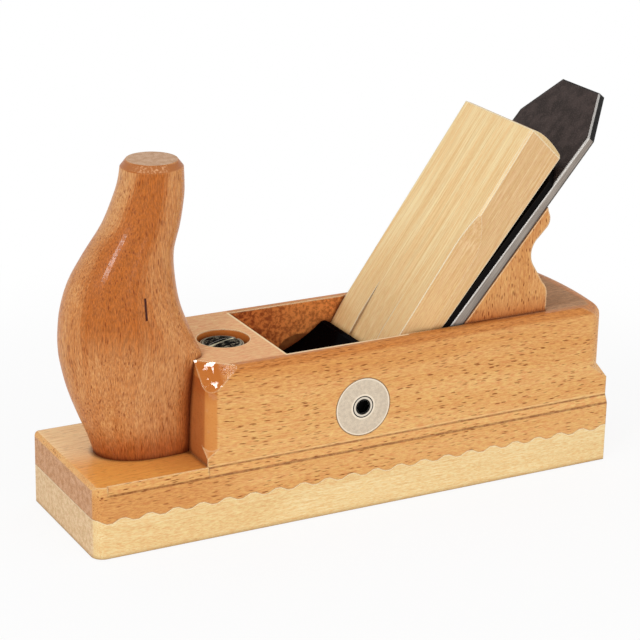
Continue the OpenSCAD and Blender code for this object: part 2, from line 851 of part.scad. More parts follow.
// Stopped bevel down the wedge's left side, ending in a hollow run-out
module wedge_bevel_cut() {
    run_out_r = 52;
    translate([wedge_bevel_stop, wedge_bevel - wedge_w / 2, wedge_upper_n(wedge_bevel_stop)])
        rotate([0, -atan(wedge_upper_slope), 0])
            rotate([atan(wedge_bevel_side / wedge_bevel), 0, 0])
                across(wedge_w) {
                    translate([-wedge_bevel_stop, 0])
                        square([wedge_bevel_stop, run_out_r]);
                    translate([0, run_out_r])
                        circle(run_out_r, $fn = 144);
                }
}

// Small bevels along the wedge's left front edges and its upper end
module wedge_edge_cuts() {
    end_tilt = 4;
    for (slope = [wedge_upper_slope, wedge_lower_slope])
        translate([wedge_kink_s, wedge_edge - wedge_w / 2, wedge_kink_n])
            rotate([0, -atan(slope), 0])
                rotate([45, 0, 0])
                    translate([-vast / 2, -vast / 2, 0])
                        cube(vast);
    translate([wedge_top_s, -wedge_w / 2, wedge_upper_n(wedge_top_s)])
        rotate([0, end_tilt, 0])
            rotate([0, 0, -45])
                translate([0, -vast / 2, -vast / 2])
                    cube(vast);
}

module wedge() {
    run_up = 7;
    channel_top = cap_screw_u + edge_s + boss_d / 2 + run_up;
    channel_depth = boss_h + channel_gap;
    fork_s = 45;
    fork_w = channel_w + 3;
    hollow_l = 25;
    hollow_rise = wedge_upper_n(bar_top_s + hollow_l) - wedge_front_n + hollow_depth;
    color("moccasin")
        on_bed()
            difference() {
                across(wedge_w)
                    wedge_outline();
                // Channel over the cap iron's boss, open at the tip
                translate([edge_s, 0, iron_edge_t + slide_gap])
                    rotate([0, iron_taper, 0])
                        translate([0, -channel_w / 2, 0])
                            cube([channel_top - edge_s, channel_w, cap_t + wedge_gap + channel_depth]);
                // Fork between the two prongs
                translate([0, -fork_w / 2, 0])
                    cube([fork_s, fork_w, 2 * wedge_front_n]);
                // Shallow hollow in the front face above the fork
                translate([bar_top_s + hollow_l, 0, wedge_upper_n(bar_top_s + hollow_l)])
                    rotate([0, -atan(hollow_rise / hollow_l), 0])
                        translate([-2 * hollow_l, -hollow_half_w, 0])
                            cube([2 * hollow_l, 2 * hollow_half_w, wedge_front_n]);
                wedge_bevel_cut();
                wedge_edge_cuts();
            }
}

module iron() {
    head_s = edge_s + iron_l;
    shoulder_cut = (iron_w - head_top_w) / 2;
    bevel_l = iron_edge_t / tan(bevel_angle);
    color("dimgray")
        on_bed()
            translate([0, 0, slide_gap])
                difference() {
                    across(iron_w)
                        polygon([
                            [edge_s, iron_edge_t], [edge_s + bevel_l, 0],
                            [head_s, 0], [head_s, iron_head_t]]);
                    // Sloping shoulders of the head
                    both_sides()
                        translate([head_s, -head_top_w / 2, -past])
                            linear_extrude(iron_edge_t + 2 * past)
                                polygon([
                                    [0, 0], [-head_slope_l, -shoulder_cut],
                                    [-head_slope_l, -iron_w], [past, -iron_w], [past, 0]]);
                    // Slot for the cap screw, ending in a round hole
                    translate([edge_s + iron_slot_start + iron_slot_l / 2, 0, -past])
                        slot_hole(iron_slot_w, iron_slot_l, iron_edge_t + 2 * past);
                    translate([edge_s + iron_slot_start + iron_slot_l, 0, -past])
                        cylinder(d = iron_keyhole_d, h = iron_edge_t + 2 * past);
                }
}

// Side outline of the cap iron on the iron's face
module cap_outline() {
    steps = 14;
    run = [for (i = [0:steps]) i / steps];
    top_back = 1.5;
    polygon(concat(
        [for (t = run) [lip_back + arch_l * t, arch_h * sin(180 * t)]],
        [[lip_back + cap_l, 0], [lip_back + cap_l - top_back, cap_t]],
        [for (i = [steps:-1:0]) let (t = i / steps)
            [lip_back + arch_l * t, arch_h * sin(180 * t) + lip_t + (cap_t - lip_t) * sin(90 * t)]]));
}

module cap_iron() {
    corner = 8;
    head = lip_back + cap_l;
    color("darkslategray")
        on_face()
            difference() {
                across(cap_w)
                    cap_outline();
                translate([cap_screw_u, 0, -past])
                    cylinder(d = boss_neck_d, h = cap_t + 2 * past);
                both_sides()
                    translate([0, -cap_w / 2, -past])
                        linear_extrude(cap_t + 2 * past)
                            polygon([
                                [head - corner, -past], [head + past, -past],
                                [head + past, corner], [head, corner], [head - corner, 0]]);
            }
}

module cap_boss() {
    color("gray")
        on_face()
            translate([cap_screw_u, 0, 0])
                difference() {
                    union() {
                        cylinder(d = boss_neck_d, h = cap_t);
                        translate([0, 0, cap_t])
                            cylinder(d = boss_d, h = boss_h);
                    }
                    translate([0, 0, -past])
                        cylinder(d = cap_shank_d, h = cap_t + boss_h + 2 * past);
                }
}

module cap_screw() {
    back_v = -(iron_edge_t - tan(iron_taper) * cap_screw_u);
    seat_gap = 0.2;
    slot_w = 1.8;
    slot_depth = 1.4;
    recess = 0.5;
    color("silver")
        on_face()
            translate([cap_screw_u, 0, back_v - seat_gap])
                difference() {
                    union() {
                        translate([0, 0, -cap_head_h])
                            cylinder(d = cap_head_d, h = cap_head_h);
                        cylinder(d = cap_shank_d - 2 * thread_gap,
                            h = seat_gap - back_v + cap_t + boss_h - recess);
                    }
                    translate([-cap_head_d, -slot_w / 2, -cap_head_h - past])
                        cube([2 * cap_head_d, slot_w, slot_depth + past]);
                }
}

// Side outline of the abutment bar on the bed, hollow in front to turn the shavings up
module bar_outline() {
    edge_h = 0.6;
    land_back = 0.4;
    brow_turn = [-1.3, 1.2];
    nose_down = 3.2;
    nose_turn = [-3.5, -2];
    belly = [2, 2.5];
    heel_n = bar_screw_n - 4;
    land = [bar_top_s - land_back, wedge_front_n + bar_land];
    nose = [bar_screw_s - nose_down, bar_screw_n + bar_nose];
    polygon(concat(
        [[bar_foot_s, wedge_lower_n(bar_foot_s)],
            [bar_top_s, wedge_front_n],
            [bar_top_s, wedge_front_n + edge_h],
            land],
        bow(land + brow_turn, nose, bar_hollow, 6),
        [nose + nose_turn,
            [bar_foot_s + belly[0], bar_screw_n + belly[1]],
            [bar_foot_s, heel_n]]));
}

module abutment_bar() {
    bore_end = 2;
    color("black")
        difference() {
            on_bed()
                across(2 * bar_half_l)
                    bar_outline();
            both_sides()
                translate([bar_x, -bar_half_l - past, bar_z])
                    rotate([-90, 0, 0])
                        cylinder(d = bar_shank_d, h = bar_shank_l + bore_end + past);
        }
}

// A flanged bush on the left cheek, its flange flush with the wood
module bush_shape() {
    translate([bar_x, -stock_w / 2, bar_z])
        rotate([-90, 0, 0])
            difference() {
                union() {
                    cylinder(d = bush_d, h = bush_t);
                    cylinder(d = bush_neck_d, h = cheek_t);
                }
                translate([0, 0, -past])
                    cylinder(d = bar_head_d + 2 * slide_gap, h = bar_head_h + slide_gap + past);
                cylinder(d = bar_shank_d + free_gap, h = cheek_t + past);
            }
}

module bar_screw_shape() {
    socket_depth = 2.2;
    translate([bar_x, -stock_w / 2, bar_z])
        rotate([-90, 0, 0])
            difference() {
                union() {
                    cylinder(d = bar_head_d, h = bar_head_h);
                    cylinder(d = bar_shank_d - 2 * thread_gap,
                        h = cheek_t + bar_gap + bar_shank_l);
                }
                translate([0, 0, -past])
                    cylinder(d = socket_af / cos(30), h = socket_depth + past, $fn = 6);
            }
}

module bush_left() {
    color("lightgray")
        bush_shape();
}

module bush_right() {
    color("lightgray")
        mirror([0, 1, 0])
            bush_shape();
}

module bar_screw_left() {
    color("gray")
        bar_screw_shape();
}

module bar_screw_right() {
    color("gray")
        mirror([0, 1, 0])
            bar_screw_shape();
}

module strike_button() {
    head_r = button_d / 2;
    dome_r = (head_r * head_r + button_out * button_out) / (2 * button_out);
    color("wheat")
        translate([heel_x, 0, button_z])
            rotate([0, 90, 0]) {
                translate([0, 0, -button_shank_l])
                    cylinder(d = button_shank_d, h = button_shank_l);
                intersection() {
                    cylinder(r = head_r, h = button_out);
                    translate([0, 0, button_out + 0.8 - dome_r])
                        sphere(dome_r, $fn = 144);
                }
            }
}

stock();
sole();
mouth_shoe();
mouth_screw();
mouth_washer();
mouth_nut();
horn();
horn_tongue();
horn_dowel();
hand_rest();
rest_dowels();
wedge();
iron();
cap_iron();
cap_boss();
cap_screw();
abutment_bar();
bush_left();
bush_right();
bar_screw_left();
bar_screw_right();
strike_button();
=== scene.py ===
import math

import bpy
from mathutils import Matrix, Vector

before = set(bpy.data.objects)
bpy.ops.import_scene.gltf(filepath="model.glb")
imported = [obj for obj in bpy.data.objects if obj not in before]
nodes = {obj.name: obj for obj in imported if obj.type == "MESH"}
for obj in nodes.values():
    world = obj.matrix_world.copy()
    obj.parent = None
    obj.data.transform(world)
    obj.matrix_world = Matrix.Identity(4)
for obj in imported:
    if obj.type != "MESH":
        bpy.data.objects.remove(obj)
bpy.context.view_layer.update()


# Small helpers for building node trees

def paint(red, green, blue):
    # a colour as read off a screen, 0 to 255, turned into linear light
    def linear(part):
        part /= 255
        return part / 12.92 if part <= 0.04045 else ((part + 0.055) / 1.055) ** 2.4
    return (linear(red), linear(green), linear(blue), 1.0)


def put(tree, kind, plugs=None, **settings):
    node = tree.nodes.new("ShaderNode" + kind)
    for key, value in settings.items():
        setattr(node, key, value)
    for key, value in (plugs or {}).items():
        if isinstance(value, bpy.types.NodeSocket):
            tree.links.new(value, node.inputs[key])
        else:
            node.inputs[key].default_value = value
    return node


def place(tree, group, plugs):
    node = tree.nodes.new("ShaderNodeGroup")
    node.node_tree = group
    for key, value in plugs.items():
        if isinstance(value, bpy.types.NodeSocket):
            tree.links.new(value, node.inputs[key])
        else:
            node.inputs[key].default_value = value
    return node.outputs


def calc(tree, operation, first, second=0.0, clamp=False):
    return put(tree, "Math", {0: first, 1: second}, operation=operation, use_clamp=clamp).outputs[0]


def times(tree, *values):
    product = values[0]
    for value in values[1:]:
        product = calc(tree, "MULTIPLY", product, value)
    return product


def largest(tree, *values):
    result = values[0]
    for value in values[1:]:
        result = calc(tree, "MAXIMUM", result, value)
    return result


def opposite(tree, value):
    return calc(tree, "SUBTRACT", 1.0, value)


def calcVector(tree, operation, first, second=(0.0, 0.0, 0.0)):
    return put(tree, "VectorMath", {0: first, 1: second}, operation=operation).outputs[0]


def scaled(tree, vector, factor):
    return put(tree, "VectorMath", {0: vector, "Scale": factor}, operation="SCALE").outputs[0]


def lengthOf(tree, vector):
    return put(tree, "VectorMath", {0: vector}, operation="LENGTH").outputs["Value"]


def fade(tree, value, low, high):
    # 0 at low, 1 at high, smooth between
    ranges = {"Value": value, "From Min": low, "From Max": high}
    return put(tree, "MapRange", ranges, interpolation_type="SMOOTHSTEP").outputs["Result"]


def mixed(tree, mask, below, above, how="MIX"):
    return put(tree, "Mix", {0: mask, 6: below, 7: above}, data_type="RGBA", blend_type=how).outputs[2]


def axes(tree, vector):
    return put(tree, "SeparateXYZ", {0: vector}).outputs


def facing(tree, normal, direction, least=0.9, full=0.97):
    toward = put(tree, "VectorMath", {0: normal, 1: direction}, operation="DOT_PRODUCT").outputs["Value"]
    return fade(tree, toward, least, full)


def noise(tree, vector, detail=2.0, roughness=0.6):
    return put(tree, "TexNoise", {"Vector": vector, "Scale": 1.0, "Detail": detail, "Roughness": roughness}).outputs


def startGroup(name, inputs, outputs):
    group = bpy.data.node_groups.new(name, "ShaderNodeTree")
    for label, kind, value in inputs:
        socket = group.interface.new_socket(name=label, in_out="INPUT", socket_type="NodeSocket" + kind)
        if value is not None:
            socket.default_value = value
    for label, kind in outputs:
        group.interface.new_socket(name=label, in_out="OUTPUT", socket_type="NodeSocket" + kind)
    given = group.nodes.new("NodeGroupInput").outputs
    result = group.nodes.new("NodeGroupOutput").inputs
    return group, given, result


# Shared effects, each a node group that is placed in several materials

def makeWoodFigure():
    # grain along X, in millimetres: dark ray flecks, fibres, fine pores and broad bands
    group, given, result = startGroup("woodFigure", [
        ("Vector", "Vector", None), ("Fleck Length", "Float", 3.4), ("Fleck Width", "Float", 0.75),
        ("Fleck Size", "Float", 0.3), ("Wander", "Float", 9.0), ("Fibre Width", "Float", 0.4),
        ("Fibre Stretch", "Float", 40.0), ("Band Width", "Float", 7.0)],
        [("Flecks", "Float"), ("Fibres", "Float"), ("Pores", "Float"), ("Bands", "Float"), ("Height", "Float")])
    slow = calcVector(group, "MULTIPLY", given["Vector"], (0.012, 0.03, 0.03))
    wave = calcVector(group, "SUBTRACT", noise(group, slow, 1.0)["Color"], (0.5, 0.5, 0.5))
    bent = calcVector(group, "ADD", given["Vector"], scaled(group, wave, given["Wander"]))

    def stretchedBy(vector, along, across, aside):
        size = put(group, "CombineXYZ", {0: along, 1: aside, 2: across}).outputs[0]
        return calcVector(group, "DIVIDE", vector, size)

    ragged = calcVector(group, "MULTIPLY", bent, (0.7, 2.4, 2.4))
    ragged = calcVector(group, "SUBTRACT", noise(group, ragged, 2.0)["Color"], (0.5, 0.5, 0.5))
    cell = stretchedBy(bent, given["Fleck Length"], given["Fleck Width"], given["Fleck Width"])
    cell = calcVector(group, "ADD", cell, scaled(group, ragged, 0.4))
    cells = put(group, "TexVoronoi", {"Vector": cell, "Scale": 1.0}, feature="F1").outputs
    inner = calc(group, "MULTIPLY", given["Fleck Size"], 0.4)
    spot = fade(group, cells["Distance"], given["Fleck Size"], inner)
    strength = fade(group, axes(group, cells["Color"])[0], 0.05, 0.55)
    width = given["Fibre Width"]
    thread = stretchedBy(bent, calc(group, "MULTIPLY", width, given["Fibre Stretch"]), width, width)
    fibres = fade(group, noise(group, thread, 3.0, 0.65)["Fac"], 0.3, 0.7)
    dash = stretchedBy(bent, calc(group, "MULTIPLY", width, 6.0), width, width)
    pores = fade(group, noise(group, dash, 2.0, 0.7)["Fac"], 0.25, 0.75)

    width = given["Band Width"]
    sweep = stretchedBy(bent, calc(group, "MULTIPLY", width, 18.0), width, width)
    bands = fade(group, noise(group, sweep, 3.0, 0.55)["Fac"], 0.3, 0.7)
    crowd = calc(group, "ADD", 0.6, times(group, bands, 0.5), clamp=True)
    flecks = times(group, spot, strength, crowd)

    group.links.new(flecks, result["Flecks"])
    group.links.new(fibres, result["Fibres"])
    group.links.new(pores, result["Pores"])
    group.links.new(bands, result["Bands"])
    height = calc(group, "SUBTRACT", calc(group, "MULTIPLY", pores, 0.5), calc(group, "MULTIPLY", flecks, 0.6))
    group.links.new(height, result["Height"])
    return group


def makeBoxMask():
    # 1 inside a box in millimetres, 0 outside, with a soft border
    group, given, result = startGroup("boxMask", [
        ("Vector", "Vector", None), ("Low", "Vector", None), ("High", "Vector", None),
        ("Soft", "Float", 0.3)], [("Mask", "Float")])
    sharp = calc(group, "DIVIDE", 1.0, given["Soft"])
    above = scaled(group, calcVector(group, "SUBTRACT", given["Vector"], given["Low"]), sharp)
    below = scaled(group, calcVector(group, "SUBTRACT", given["High"], given["Vector"]), sharp)
    inside = axes(group, calcVector(group, "MINIMUM", above, below))
    least = calc(group, "MINIMUM", calc(group, "MINIMUM", inside[0], inside[1]), inside[2])
    group.links.new(calc(group, "ADD", least, 0.5, clamp=True), result["Mask"])
    return group


def makeMottle():
    # uneven blotches and small specks, sizes in millimetres
    group, given, result = startGroup("mottle", [
        ("Vector", "Vector", None), ("Blotch Size", "Float", 4.0), ("Speck Size", "Float", 0.6)],
        [("Blotches", "Float"), ("Specks", "Float")])
    wide = scaled(group, given["Vector"], calc(group, "DIVIDE", 1.0, given["Blotch Size"]))
    small = scaled(group, given["Vector"], calc(group, "DIVIDE", 1.0, given["Speck Size"]))
    group.links.new(fade(group, noise(group, wide, 4.0)["Fac"], 0.36, 0.64), result["Blotches"])
    group.links.new(fade(group, noise(group, small, 2.0)["Fac"], 0.46, 0.7), result["Specks"])
    return group


def makeWornAndShadedEdges():
    # arrises, whose lighter colour is partly wear and partly painted highlight; corners, found by ambient occlusion
    # and darkened as painted shade; and the rounded normal of both
    group, given, result = startGroup("wornAndShadedEdges", [
        ("Arris", "Float", 0.0006), ("Reach", "Float", 0.003)],
        [("Arrises", "Float"), ("Corners", "Float"), ("Rounded", "Vector")])
    rounded = put(group, "Bevel", {"Radius": given["Arris"]}, samples=6).outputs[0]
    plain = put(group, "NewGeometry").outputs["Normal"]
    same = put(group, "VectorMath", {0: rounded, 1: plain}, operation="DOT_PRODUCT").outputs["Value"]
    openness = put(group, "AmbientOcclusion", {"Distance": given["Reach"]}, samples=8).outputs["AO"]
    corners = fade(group, openness, 0.9, 0.4)
    arrises = times(group, fade(group, same, 0.995, 0.93), opposite(group, corners))
    group.links.new(arrises, result["Arrises"])
    group.links.new(corners, result["Corners"])
    group.links.new(rounded, result["Rounded"])
    return group


woodFigure = makeWoodFigure()
boxMask = makeBoxMask()
mottle = makeMottle()
wornAndShadedEdges = makeWornAndShadedEdges()
print("effects built: woodFigure, boxMask, mottle, wornAndShadedEdges")


# Materials

def startMaterial(name):
    material = bpy.data.materials.new(name)
    material.use_nodes = True
    tree = material.node_tree
    tree.nodes.clear()
    coordinates = put(tree, "TexCoord").outputs
    here = scaled(tree, coordinates["Object"], 1000.0)    # millimetres
    return material, tree, here, coordinates["Normal"]


def within(tree, here, low, high, soft=0.3):
    return place(tree, boxMask, {"Vector": here, "Low": low, "High": high, "Soft": soft})["Mask"]


def beside(tree, here, axis, low, high, soft=0.3):
    # a slab across one axis only
    far = 500.0
    lowest = [-far] * 3
    highest = [far] * 3
    lowest["XYZ".index(axis)] = low
    highest["XYZ".index(axis)] = high
    return within(tree, here, lowest, highest, soft)


def figureOf(tree, here, look):
    turned = put(tree, "Mapping", {"Vector": here, "Rotation": (0.0, math.radians(look["grainTilt"]), 0.0)})
    return place(tree, woodFigure, {
        "Vector": turned.outputs[0], "Fleck Length": look["fleckLength"], "Fleck Width": look["fleckWidth"],
        "Fleck Size": look["fleckSize"], "Wander": look["wander"], "Fibre Width": look["fibreWidth"],
        "Fibre Stretch": look["fibreStretch"], "Band Width": look["bandWidth"]})


def grained(tree, colour, figure, look):
    colour = mixed(tree, times(tree, figure["Fibres"], look["fibreShow"]), colour, look["fibre"])
    colour = mixed(tree, look["poreShow"], colour, figure["Pores"], "OVERLAY")
    return mixed(tree, times(tree, figure["Flecks"], look["fleckShow"]), colour, look["fleck"])


def roundedEdges(tree, look):
    return place(tree, wornAndShadedEdges, {"Arris": look["arris"], "Reach": look["reach"]})


def finished(material, tree, colour, roughness, height, look, edges, varnish=None, rubbedAndLitShare=None):
    rubbedAndLitShow = look["rubbedAndLitShow"] if rubbedAndLitShare is None else rubbedAndLitShare
    # the arrises are made lighter, partly wear and partly a painted highlight
    colour = mixed(tree, times(tree, edges["Arrises"], rubbedAndLitShow), colour, look["rubbedAndLit"])
    # painted shade: corners found by ambient occlusion are darkened
    colour = mixed(tree, times(tree, edges["Corners"], look["cornerShadeShow"]), colour, look["cornerShade"])
    bump = put(tree, "Bump", {"Strength": look["bump"], "Distance": look["bumpDepth"], "Height": height,
                              "Normal": edges["Rounded"]})
    shader = put(tree, "BsdfPrincipled", {
        "Base Color": colour, "Roughness": roughness, "Normal": bump.outputs[0],
        "Metallic": look["metallic"], "Specular IOR Level": look["shine"],
        "Coat Weight": look["coat"] if varnish is None else varnish, "Coat Roughness": look["coatRoughness"]})
    out = put(tree, "OutputMaterial")
    tree.links.new(shader.outputs[0], out.inputs["Surface"])
    return material


# What every varnished wood shares; each piece's own look is laid over it
varnished = {
    "fleckLength": 6.0, "fleckWidth": 1.0, "fleckSize": 0.35, "wander": 9.0,
    "fibreWidth": 0.42, "fibreStretch": 40.0, "bandWidth": 7.0, "fibreShow": 0.45, "poreShow": 0.28,
    "fleckShow": 1.0, "bump": 0.3, "bumpDepth": 0.0002, "metallic": 0.0, "shine": 0.1, "coat": 0.08,
    "coatRoughness": 0.16,
    "arris": 0.0006, "reach": 0.003, "rubbedAndLitShow": 0.35, "cornerShadeShow": 0.8,
}

stockLook = {
    **varnished, "grainTilt": 0, "fleckLength": 5.0, "fleckWidth": 0.86,
    "light": paint(236, 185, 120), "deep": paint(228, 171, 104), "fibre": paint(208, 145, 79),
    "fleck": paint(140, 76, 28), "warm": paint(206, 130, 60), "warmFrom": 40, "warmTo": 66,
    "lowerBand": paint(216, 152, 88), "edgeVarnish": paint(186, 104, 38), "facet": paint(208, 134, 66), "shoulderWallShade": paint(148, 56, 16),
    "rawTop": paint(242, 190, 140), "rawTopDeep": paint(226, 170, 122), "rawHeel": paint(196, 152, 116),
    "rawHeelDeep": paint(158, 118, 86), "toeTop": paint(244, 168, 78), "toeTopSheen": paint(255, 218, 162),
    "endGrain": paint(212, 166, 130), "endGrainDeep": paint(190, 140, 100),
    "throat": paint(218, 126, 62), "throatDark": paint(146, 68, 30), "throatPaintedLight": paint(252, 164, 88), "holeWall": paint(214, 126, 58),
    "ledgeShade": paint(124, 66, 24), "ledgeHighlight": paint(252, 212, 150), "joint": paint(104, 60, 28),
    "barAxis": (-0.643, 0.0, 40.71), "jointFrom": 11.9, "jointTo": 11.45,
    "rubbedAndLit": paint(255, 228, 182), "cornerShade": paint(104, 44, 14), "rubbedAndLitShow": 0.2, "arris": 0.0009, "coatRoughness": 0.06,
}


def makeStockMaterial(look):
    material, tree, here, normal = startMaterial("stockBeech")
    figure = figureOf(tree, here, look)
    spots = place(tree, mottle, {"Vector": here, "Blotch Size": 2.2, "Speck Size": 0.8})
    up = facing(tree, normal, (0, 0, 1))
    behind = beside(tree, here, "X", -64.5, 500, 0.5)
    colour = mixed(tree, figure["Bands"], look["light"], look["deep"])

    # the upper half, the toe and the strip under the ledge have taken more varnish
    warm = fade(tree, axes(tree, here)[2], look["warmFrom"], look["warmTo"])
    warm = times(tree, warm, calc(tree, "ADD", 0.45, times(tree, figure["Bands"], 0.25)))
    colour = mixed(tree, warm, colour, look["warm"])
    band = beside(tree, here, "Z", 10, 24.5, 2.0)
    toeSide = times(tree, band, fade(tree, axes(tree, here)[0], -34, -74))
    colour = mixed(tree, largest(tree, times(tree, band, 0.1), times(tree, toeSide, 0.95)), colour, look["lowerBand"])
    toeTop = times(tree, within(tree, here, (-500, -500, 27), (-64, 500, 29), 0.5), up)
    # painted sheen: the far half of the toe's top is made lighter
    toeTone = mixed(tree, fade(tree, axes(tree, here)[1], -12, 8), look["toeTop"], look["toeTopSheen"])
    run = times(tree, fade(tree, axes(tree, here)[0], -88, -66), 0.4)
    toeTone = mixed(tree, run, toeTone, look["edgeVarnish"])
    colour = mixed(tree, times(tree, toeTop, 0.85), colour, toeTone)

    # varnish lies thick on the rounded upper edges, the heel's corners and the shoulder
    edge = within(tree, here, (-66, -500, 62.6), (500, 500, 67), 1.5)
    shoulder = within(tree, here, (-66, -500, 28.5), (-57.5, 500, 67), 3.0)
    shoulder = times(tree, shoulder, opposite(tree, facing(tree, normal, (0, -1, 0), 0.93, 0.99)))
    colour = mixed(tree, times(tree, edge, 0.7), colour, look["edgeVarnish"])

    # bare top in front of the throat and behind the hand rest
    front = within(tree, here, (-64.5, -25, 64), (-31.2, 27.5, 67), 0.6)
    rear = within(tree, here, (60, -25, 64), (103, 28, 67), 2.0)
    bare = times(tree, largest(tree, front, rear), up)
    frontTone = mixed(tree, figure["Fibres"], look["rawTop"], look["rawTopDeep"])
    rearTone = mixed(tree, figure["Bands"], look["rawHeel"], look["rawHeelDeep"])
    plainTone = mixed(tree, times(tree, figure["Fibres"], figure["Fibres"], 0.5), colour, look["edgeVarnish"])
    colour = mixed(tree, times(tree, toeTop, 0.6), grained(tree, colour, figure, look), plainTone)
    facetTone = mixed(tree, fade(tree, axes(tree, here)[2], 50, 58), look["facet"], look["edgeVarnish"])
    colour = mixed(tree, times(tree, shoulder, 0.85), colour, facetTone)
    # painted shade: the shoulder's face toward the toe, behind the horn, is darkened
    shoulderWallShade = within(tree, here, (-66, -500, 28.3), (-64, 500, 60), 0.4)
    shoulderWallShade = times(tree, shoulderWallShade, facing(tree, normal, (-1, 0, 0)), 0.52)
    colour = mixed(tree, shoulderWallShade, colour, look["shoulderWallShade"])
    frontTone = mixed(tree, 0.3, frontTone, figure["Pores"], "OVERLAY")
    rearTone = mixed(tree, 0.3, rearTone, figure["Pores"], "OVERLAY")
    colour = mixed(tree, times(tree, front, up), colour, frontTone)
    colour = mixed(tree, times(tree, rear, up), colour, rearTone)
    # painted highlight: the throat's front edge and the cheek's inner top edge are made lighter
    lip = within(tree, here, (-32.2, -24.9, 65.2), (-31.1, 24.9, 66), 0.3)
    cheekLip = within(tree, here, (-32, -25.6, 65.2), (20, -24.8, 66), 0.3)
    colour = mixed(tree, times(tree, largest(tree, lip, cheekLip), up, 0.8), colour, look["rubbedAndLit"])

    # end grain at toe and heel
    toeEnd = times(tree, facing(tree, normal, (-1, 0, 0), 0.93, 0.98), beside(tree, here, "X", -500, -106, 0.5))
    toeEnd = times(tree, toeEnd, beside(tree, here, "Z", -500, 28.0, 0.4))
    heelEnd = times(tree, facing(tree, normal, (1, 0, 0), 0.93, 0.98), beside(tree, here, "X", 106, 500, 0.5))
    ends = largest(tree, toeEnd, heelEnd)
    endTone = mixed(tree, spots["Blotches"], look["endGrain"], look["endGrainDeep"])
    colour = mixed(tree, ends, colour, mixed(tree, 0.25, endTone, figure["Pores"], "OVERLAY"))

    # blotchy walls inside the throat and the screw's hole
    throat = within(tree, here, (-33, -24.8, -5), (46, 24.8, 65.3), 0.4)
    stain = place(tree, mottle, {"Vector": here, "Blotch Size": 1.5, "Speck Size": 0.7})["Blotches"]
    throatTone = mixed(tree, stain, look["throat"], look["throatDark"])
    # painted light: the throat walls are lighter toward the back, nearer the wedge
    glow = times(tree, fade(tree, axes(tree, here)[0], -24, 8), opposite(tree, times(tree, stain, 0.6)))
    throatTone = mixed(tree, times(tree, glow, 0.7), throatTone, look["throatPaintedLight"])
    colour = mixed(tree, throat, colour, throatTone)
    hole = within(tree, here, (-56, -11, 30), (-34, 11, 65.3), 0.4)
    colour = mixed(tree, times(tree, hole, 0.85), colour, look["holeWall"])

    # a painted shade line runs along below the ledge's step, and a fine pair of a painted shade line and a painted
    # highlight line goes on from its edge
    patchy = calc(tree, "ADD", 0.6, times(tree, spots["Blotches"], 0.4))
    lines = times(tree, behind, patchy)
    lowLine = times(tree, beside(tree, here, "Z", 23.95, 24.8, 0.3), beside(tree, here, "X", -105, 500, 2.0))
    lowLine = times(tree, lowLine, patchy, 0.85)
    colour = mixed(tree, lowLine, colour, look["ledgeShade"])
    highLine = times(tree, beside(tree, here, "Z", 27.1, 27.7, 0.3), lines, 0.8)
    colour = mixed(tree, highLine, colour, look["ledgeShade"])
    brightLine = times(tree, beside(tree, here, "Z", 27.85, 28.35, 0.3), lines, 0.6)
    colour = mixed(tree, brightLine, colour, look["ledgeHighlight"])

    # a dark joint round the bush
    offset = calcVector(tree, "SUBTRACT", here, look["barAxis"])
    radius = lengthOf(tree, calcVector(tree, "MULTIPLY", offset, (1.0, 0.0, 1.0)))
    ring = times(tree, fade(tree, radius, look["jointFrom"], look["jointTo"]), behind, 0.85)
    colour = mixed(tree, ring, colour, look["joint"])

    matte = largest(tree, bare, ends, throat)
    roughness = calc(tree, "ADD", 0.34, times(tree, matte, 0.34))
    roughness = calc(tree, "ADD", roughness, times(tree, figure["Pores"], 0.08))
    thick = times(tree, shoulder, fade(tree, noise(tree, scaled(tree, here, 0.3), 1.0)["Fac"], 0.575, 0.665))
    roughness = calc(tree, "ADD", roughness, times(tree, shoulder, 0.2))
    thin = times(tree, opposite(tree, shoulder), look["coat"])
    varnish = times(tree, opposite(tree, matte), calc(tree, "ADD", thin, thick))
    relief = times(tree, figure["Height"], opposite(tree, shoulder))
    relief = calc(tree, "ADD", relief, times(tree, shoulder, noise(tree, scaled(tree, here, 0.3), 1.0)["Fac"], 3.0))

    # the arrises carry a painted highlight, strong round the bare top, broken along the toe and on the shoulder
    crisp = within(tree, here, (-66, -27, 64.6), (60, 27.5, 67), 0.3)
    toeEdge = times(tree, within(tree, here, (-112, -500, 26.5), (-64.5, 500, 29), 0.3), patchy, 0.6)
    shoulderEdge = times(tree, within(tree, here, (-67, -500, 28.5), (-56.5, 500, 63), 0.5), 0.45)
    rubbedAndLitShare = largest(tree, look["rubbedAndLitShow"], times(tree, crisp, 0.9), toeEdge, shoulderEdge)
    return finished(material, tree, colour, roughness, relief, look, roundedEdges(tree, look), varnish, rubbedAndLitShare)


hornLook = {
    **varnished, "grainTilt": 90, "fleckLength": 5.0, "fleckWidth": 0.8, "fleckShow": 0.85, "wander": 6.0,
    "bandWidth": 4.0, "fibreShow": 0.6, "fibreStretch": 30.0,
    "light": paint(216, 156, 99), "deep": paint(204, 137, 80), "fibre": paint(172, 94, 36),
    "fleck": paint(124, 54, 14), "neckVarnishAndShade": paint(172, 90, 22), "run": paint(146, 56, 8),
    "neckSheen": paint(218, 164, 108),
    "topDisc": paint(208, 172, 142), "topDiscDeep": paint(192, 152, 120),
    "bevelTone": paint(174, 106, 56), "bevelLight": paint(220, 162, 116), "crack": paint(60, 14, 4),
    "crackLow": (-84.4, -20, 83.7), "crackHigh": (-83.5, -10, 91.8),
    "neckFrom": 64, "neckTo": 84, "footFrom": 43, "footTo": 30,
    "coat": 0.24, "coatRoughness": 0.15, "poreShow": 0.3, "reach": 0.004,
    "rubbedAndLit": paint(214, 150, 92), "cornerShade": paint(84, 26, 8),
}


